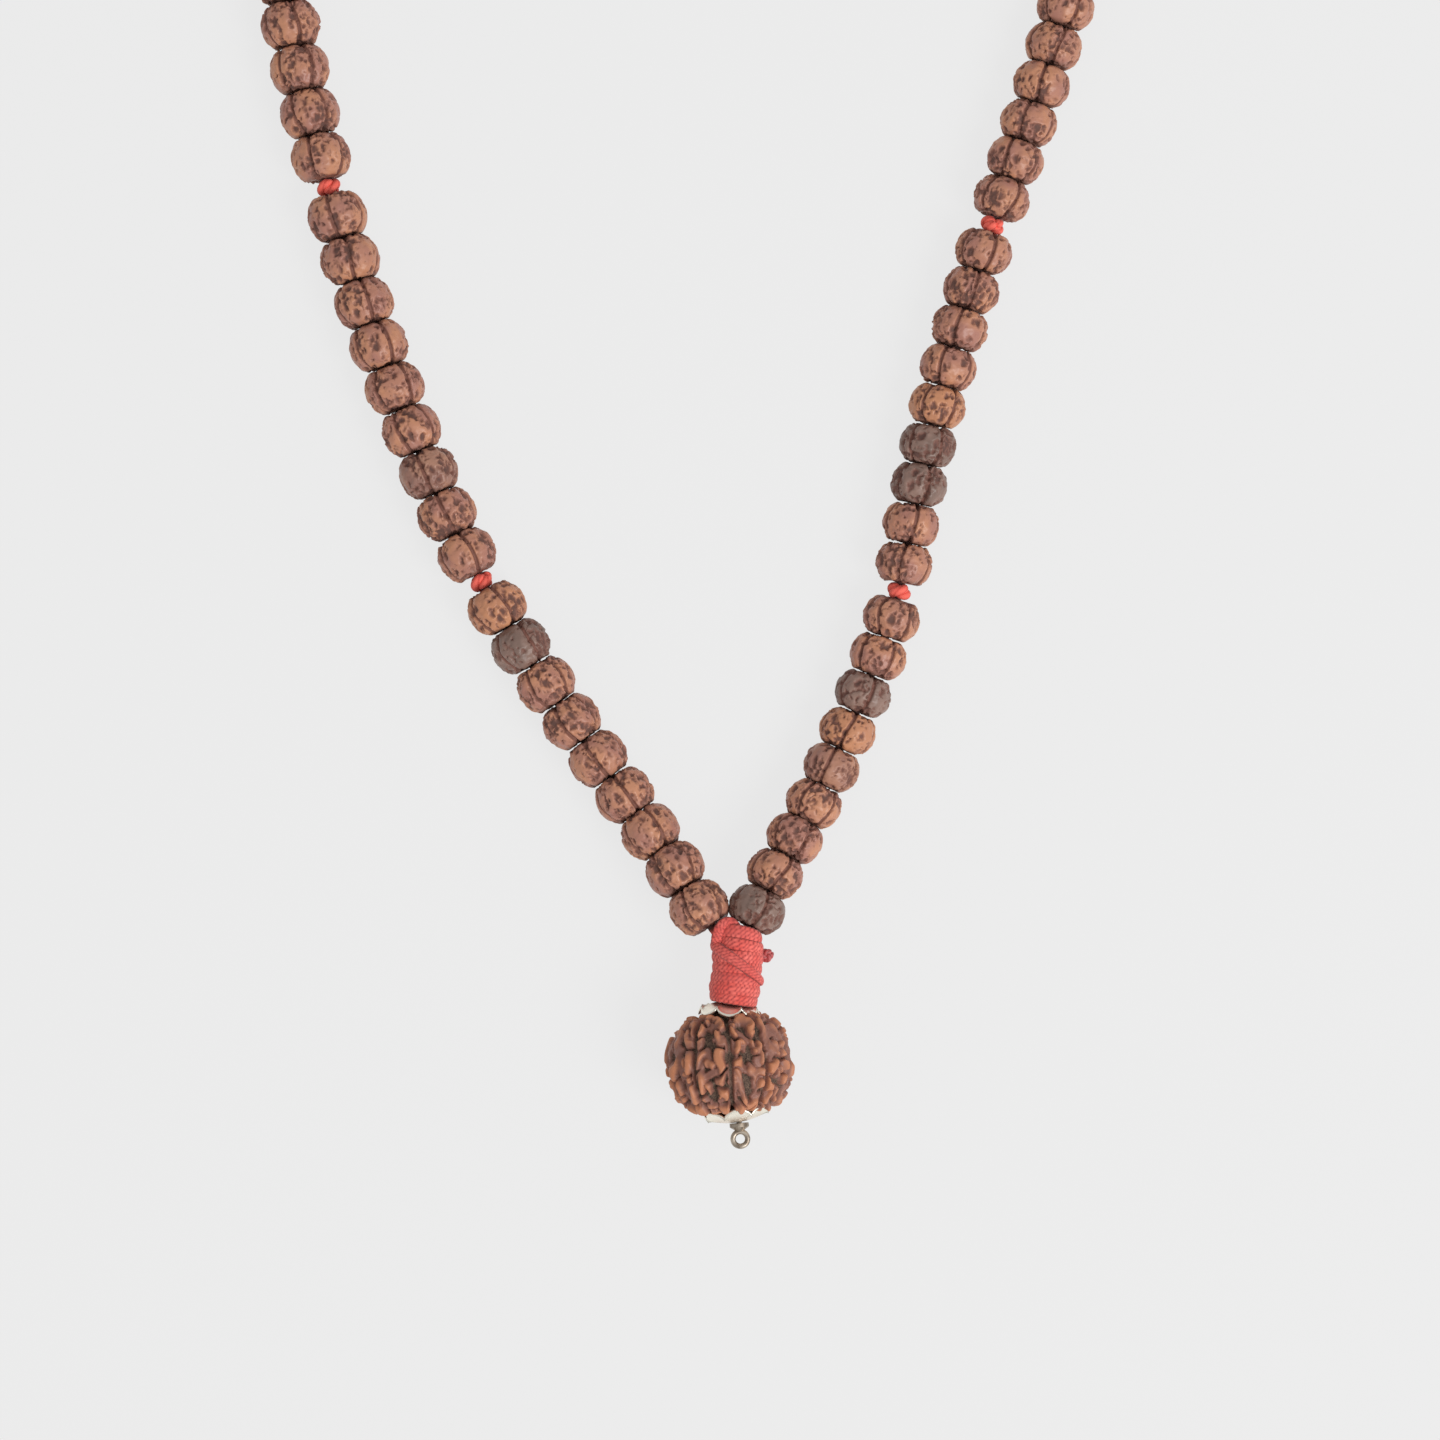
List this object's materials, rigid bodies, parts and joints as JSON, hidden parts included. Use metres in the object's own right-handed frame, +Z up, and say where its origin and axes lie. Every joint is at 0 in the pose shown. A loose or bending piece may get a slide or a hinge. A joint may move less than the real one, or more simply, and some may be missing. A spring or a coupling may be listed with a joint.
{
  "type": "mala prayer beads",
  "caption": "Long loop of five-faced rudraksha seeds on a knotted red cord, with a bound neck and a large raw guru seed between petalled silver caps on an eye pin.",
  "frame": {"origin": "middle of the object's box, on the table that it lies on", "axes": "+Z up from the table, +Y from the guru seed to the back of the loop, +X to the right seen from above"},
  "size_m": [0.1414, 0.3488, 0.0197],
  "materials": {
    "seed": "polished rudraksha seed, satin",
    "guru_seed": "raw rudraksha seed, deeply ridged, matt",
    "cord": "twisted red cotton cord",
    "winding_thread": "flat braided red thread, wound",
    "silver": "old silver plate, dulled in the hollows"
  },
  "bodies": {
    "root": {"string": "cord", "knots": "cord", "back_beads_1": "seed", "back_beads_2": "seed", "back_beads_3": "seed", "back_beads_4": "seed"},
    "pendant": {"thread_wrap": "winding_thread", "thread_end_knot": "winding_thread", "eye_pin": "silver"},
    "guru": {"guru_bead": "guru_seed", "top_cap": "silver", "bottom_cap": "silver"},
    "left_bead_01": {"left_bead_01": "seed"},
    "right_bead_01": {"right_bead_01": "seed"},
    "left_bead_02": {"left_bead_02": "seed"},
    "right_bead_02": {"right_bead_02": "seed"},
    "left_bead_03": {"left_bead_03": "seed"},
    "right_bead_03": {"right_bead_03": "seed"},
    "left_bead_04": {"left_bead_04": "seed"},
    "right_bead_04": {"right_bead_04": "seed"},
    "left_bead_05": {"left_bead_05": "seed"},
    "right_bead_05": {"right_bead_05": "seed"},
    "left_bead_06": {"left_bead_06": "seed"},
    "right_bead_06": {"right_bead_06": "seed"},
    "left_bead_07": {"left_bead_07": "seed"},
    "right_bead_07": {"right_bead_07": "seed"},
    "left_bead_08": {"left_bead_08": "seed"},
    "right_bead_08": {"right_bead_08": "seed"},
    "left_bead_09": {"left_bead_09": "seed"},
    "right_bead_09": {"right_bead_09": "seed"},
    "left_bead_10": {"left_bead_10": "seed"},
    "right_bead_10": {"right_bead_10": "seed"},
    "left_bead_11": {"left_bead_11": "seed"},
    "right_bead_11": {"right_bead_11": "seed"},
    "left_bead_12": {"left_bead_12": "seed"},
    "right_bead_12": {"right_bead_12": "seed"},
    "left_bead_13": {"left_bead_13": "seed"},
    "right_bead_13": {"right_bead_13": "seed"},
    "left_bead_14": {"left_bead_14": "seed"},
    "right_bead_14": {"right_bead_14": "seed"},
    "left_bead_15": {"left_bead_15": "seed"},
    "right_bead_15": {"right_bead_15": "seed"},
    "left_bead_16": {"left_bead_16": "seed"},
    "right_bead_16": {"right_bead_16": "seed"},
    "left_bead_17": {"left_bead_17": "seed"},
    "right_bead_17": {"right_bead_17": "seed"},
    "left_bead_18": {"left_bead_18": "seed"},
    "right_bead_18": {"right_bead_18": "seed"},
    "left_bead_19": {"left_bead_19": "seed"},
    "right_bead_19": {"right_bead_19": "seed"},
    "left_bead_20": {"left_bead_20": "seed"},
    "right_bead_20": {"right_bead_20": "seed"},
    "left_bead_21": {"left_bead_21": "seed"},
    "right_bead_21": {"right_bead_21": "seed"},
    "left_bead_22": {"left_bead_22": "seed"},
    "right_bead_22": {"right_bead_22": "seed"},
    "left_bead_23": {"left_bead_23": "seed"},
    "right_bead_23": {"right_bead_23": "seed"},
    "left_bead_24": {"left_bead_24": "seed"},
    "right_bead_24": {"right_bead_24": "seed"}
  },
  "joints": [
    {"name": "pendant_swing", "type": "hinge", "parent": "root", "child": "pendant", "pos_m": [0.00572, -0.14534, 0.00892], "axis": [0, 0, 1], "range_deg": [-25, 25]},
    {"name": "guru_spin", "type": "hinge", "parent": "pendant", "child": "guru", "pos_m": [0.00552, -0.16153, 0.0099], "axis": [-0.0783, 0.9951, -0.061], "continuous": true},
    {"name": "left_bead_01_spin", "type": "hinge", "parent": "root", "child": "left_bead_01", "pos_m": [0.00031, -0.13898, 0.00827], "axis": [-0.5043, 0.8477, -0.1644], "continuous": true},
    {"name": "right_bead_01_spin", "type": "hinge", "parent": "root", "child": "right_bead_01", "pos_m": [0.00891, -0.13923, 0.00831], "axis": [-0.411, -0.895, 0.1737], "continuous": true},
    {"name": "left_bead_02_spin", "type": "hinge", "parent": "root", "child": "left_bead_02", "pos_m": [-0.00321, -0.13336, 0.00703], "axis": [-0.539, 0.8176, -0.2027], "continuous": true},
    {"name": "right_bead_02_spin", "type": "hinge", "parent": "root", "child": "right_bead_02", "pos_m": [0.01158, -0.13398, 0.00719], "axis": [-0.4785, -0.8553, 0.199], "continuous": true},
    {"name": "left_bead_03_spin", "type": "hinge", "parent": "root", "child": "left_bead_03", "pos_m": [-0.00691, -0.12786, 0.00577], "axis": [-0.5583, 0.8122, -0.1692], "continuous": true},
    {"name": "right_bead_03_spin", "type": "hinge", "parent": "root", "child": "right_bead_03", "pos_m": [0.01448, -0.12886, 0.00602], "axis": [-0.4868, -0.8525, 0.1904], "continuous": true},
    {"name": "left_bead_04_spin", "type": "hinge", "parent": "root", "child": "left_bead_04", "pos_m": [-0.01077, -0.1224, 0.00497], "axis": [-0.5863, 0.8072, -0.0681], "continuous": true},
    {"name": "right_bead_04_spin", "type": "hinge", "parent": "root", "child": "right_bead_04", "pos_m": [0.01731, -0.12366, 0.00509], "axis": [-0.4562, -0.8818, 0.1197], "continuous": true},
    {"name": "left_bead_05_spin", "type": "hinge", "parent": "root", "child": "left_bead_05", "pos_m": [-0.01476, -0.11697, 0.00465], "axis": [-0.5952, 0.8031, -0.0272], "continuous": true},
    {"name": "right_bead_05_spin", "type": "hinge", "parent": "root", "child": "right_bead_05", "pos_m": [0.01994, -0.1183, 0.00459], "axis": [-0.4223, -0.9052, 0.0477], "continuous": true},
    {"name": "left_bead_06_spin", "type": "hinge", "parent": "root", "child": "left_bead_06", "pos_m": [-0.01872, -0.1115, 0.00449], "axis": [-0.578, 0.8158, -0.019], "continuous": true},
    {"name": "right_bead_06_spin", "type": "hinge", "parent": "root", "child": "right_bead_06", "pos_m": [0.02242, -0.11284, 0.00437], "axis": [-0.4026, -0.915, 0.0275], "continuous": true},
    {"name": "left_bead_07_spin", "type": "hinge", "parent": "root", "child": "left_bead_07", "pos_m": [-0.02254, -0.10594, 0.0044], "axis": [-0.5533, 0.833, -0.0073], "continuous": true},
    {"name": "right_bead_07_spin", "type": "hinge", "parent": "root", "child": "right_bead_07", "pos_m": [0.02476, -0.10732, 0.00425], "axis": [-0.3769, -0.9262, 0.0125], "continuous": true},
    {"name": "left_bead_08_spin", "type": "hinge", "parent": "root", "child": "left_bead_08", "pos_m": [-0.02621, -0.10028, 0.00438], "axis": [-0.536, 0.8442, -0.0001], "continuous": true},
    {"name": "right_bead_08_spin", "type": "hinge", "parent": "root", "child": "right_bead_08", "pos_m": [0.02696, -0.10174, 0.00421], "axis": [-0.3566, -0.9343, 0.0008], "continuous": true},
    {"name": "left_bead_09_spin", "type": "hinge", "parent": "root", "child": "left_bead_09", "pos_m": [-0.02975, -0.09453, 0.00438], "axis": [-0.513, 0.8584, 0], "continuous": true},
    {"name": "right_bead_09_spin", "type": "hinge", "parent": "root", "child": "right_bead_09", "pos_m": [0.02893, -0.09608, 0.0042], "axis": [-0.299, -0.9543, 0], "continuous": true},
    {"name": "left_bead_10_spin", "type": "hinge", "parent": "root", "child": "left_bead_10", "pos_m": [-0.03424, -0.08662, 0.00438], "axis": [-0.4736, 0.8807, 0], "continuous": true},
    {"name": "right_bead_10_spin", "type": "hinge", "parent": "root", "child": "right_bead_10", "pos_m": [0.03081, -0.08796, 0.0042], "axis": [-0.1664, -0.9861, 0], "continuous": true},
    {"name": "left_bead_11_spin", "type": "hinge", "parent": "root", "child": "left_bead_11", "pos_m": [-0.03727, -0.08059, 0.00438], "axis": [-0.4236, 0.9058, 0], "continuous": true},
    {"name": "right_bead_11_spin", "type": "hinge", "parent": "root", "child": "right_bead_11", "pos_m": [0.03189, -0.08206, 0.0042], "axis": [-0.1943, -0.9809, 0], "continuous": true},
    {"name": "left_bead_12_spin", "type": "hinge", "parent": "root", "child": "left_bead_12", "pos_m": [-0.04001, -0.07442, 0.00438], "axis": [-0.3873, 0.922, 0], "continuous": true},
    {"name": "right_bead_12_spin", "type": "hinge", "parent": "root", "child": "right_bead_12", "pos_m": [0.03309, -0.07618, 0.0042], "axis": [-0.2063, -0.9785, 0], "continuous": true},
    {"name": "left_bead_13_spin", "type": "hinge", "parent": "root", "child": "left_bead_13", "pos_m": [-0.04257, -0.06818, 0.00438], "axis": [-0.3727, 0.928, 0], "continuous": true},
    {"name": "right_bead_13_spin", "type": "hinge", "parent": "root", "child": "right_bead_13", "pos_m": [0.03437, -0.07032, 0.0042], "axis": [-0.2201, -0.9755, 0], "continuous": true},
    {"name": "left_bead_14_spin", "type": "hinge", "parent": "root", "child": "left_bead_14", "pos_m": [-0.04502, -0.06189, 0.00438], "axis": [-0.3523, 0.9359, 0], "continuous": true},
    {"name": "right_bead_14_spin", "type": "hinge", "parent": "root", "child": "right_bead_14", "pos_m": [0.03578, -0.06448, 0.0042], "axis": [-0.2487, -0.9686, 0], "continuous": true},
    {"name": "left_bead_15_spin", "type": "hinge", "parent": "root", "child": "left_bead_15", "pos_m": [-0.04734, -0.05555, 0.00438], "axis": [-0.3364, 0.9417, 0], "continuous": true},
    {"name": "right_bead_15_spin", "type": "hinge", "parent": "root", "child": "right_bead_15", "pos_m": [0.03735, -0.0587, 0.0042], "axis": [-0.2772, -0.9608, 0], "continuous": true},
    {"name": "left_bead_16_spin", "type": "hinge", "parent": "root", "child": "left_bead_16", "pos_m": [-0.04957, -0.04918, 0.00438], "axis": [-0.3227, 0.9465, 0], "continuous": true},
    {"name": "right_bead_16_spin", "type": "hinge", "parent": "root", "child": "right_bead_16", "pos_m": [0.03907, -0.05295, 0.0042], "axis": [-0.2954, -0.9554, 0], "continuous": true},
    {"name": "left_bead_17_spin", "type": "hinge", "parent": "root", "child": "left_bead_17", "pos_m": [-0.05167, -0.04276, 0.00438], "axis": [-0.2992, 0.9542, 0], "continuous": true},
    {"name": "right_bead_17_spin", "type": "hinge", "parent": "root", "child": "right_bead_17", "pos_m": [0.04087, -0.04722, 0.0042], "axis": [-0.3024, -0.9532, 0], "continuous": true},
    {"name": "left_bead_18_spin", "type": "hinge", "parent": "root", "child": "left_bead_18", "pos_m": [-0.05361, -0.0363, 0.00438], "axis": [-0.2755, 0.9613, 0], "continuous": true},
    {"name": "right_bead_18_spin", "type": "hinge", "parent": "root", "child": "right_bead_18", "pos_m": [0.04271, -0.04151, 0.0042], "axis": [-0.3129, -0.9498, 0], "continuous": true},
    {"name": "left_bead_19_spin", "type": "hinge", "parent": "root", "child": "left_bead_19", "pos_m": [-0.05602, -0.02752, 0.00438], "axis": [-0.256, 0.9667, 0], "continuous": true},
    {"name": "right_bead_19_spin", "type": "hinge", "parent": "root", "child": "right_bead_19", "pos_m": [0.04538, -0.0336, 0.0042], "axis": [-0.3274, -0.9449, 0], "continuous": true},
    {"name": "left_bead_20_spin", "type": "hinge", "parent": "root", "child": "left_bead_20", "pos_m": [-0.05766, -0.02098, 0.00438], "axis": [-0.2324, 0.9726, 0], "continuous": true},
    {"name": "right_bead_20_spin", "type": "hinge", "parent": "root", "child": "right_bead_20", "pos_m": [0.04737, -0.02794, 0.0042], "axis": [-0.3341, -0.9425, 0], "continuous": true},
    {"name": "left_bead_21_spin", "type": "hinge", "parent": "root", "child": "left_bead_21", "pos_m": [-0.05915, -0.0144, 0.00438], "axis": [-0.208, 0.9781, 0], "continuous": true},
    {"name": "right_bead_21_spin", "type": "hinge", "parent": "root", "child": "right_bead_21", "pos_m": [0.04935, -0.02228, 0.0042], "axis": [-0.3266, -0.9452, 0], "continuous": true},
    {"name": "left_bead_22_spin", "type": "hinge", "parent": "root", "child": "left_bead_22", "pos_m": [-0.06047, -0.00778, 0.00438], "axis": [-0.1844, 0.9829, 0], "continuous": true},
    {"name": "right_bead_22_spin", "type": "hinge", "parent": "root", "child": "right_bead_22", "pos_m": [0.05127, -0.01659, 0.0042], "axis": [-0.314, -0.9494, 0], "continuous": true},
    {"name": "left_bead_23_spin", "type": "hinge", "parent": "root", "child": "left_bead_23", "pos_m": [-0.06167, -0.00114, 0.00438], "axis": [-0.1707, 0.9853, 0], "continuous": true},
    {"name": "right_bead_23_spin", "type": "hinge", "parent": "root", "child": "right_bead_23", "pos_m": [0.05312, -0.01088, 0.0042], "axis": [-0.3014, -0.9535, 0], "continuous": true},
    {"name": "left_bead_24_spin", "type": "hinge", "parent": "root", "child": "left_bead_24", "pos_m": [-0.06275, 0.00553, 0.00438], "axis": [-0.1482, 0.989, 0], "continuous": true},
    {"name": "right_bead_24_spin", "type": "hinge", "parent": "root", "child": "right_bead_24", "pos_m": [0.05489, -0.00515, 0.0042], "axis": [-0.2887, -0.9574, 0], "continuous": true}
  ]
}
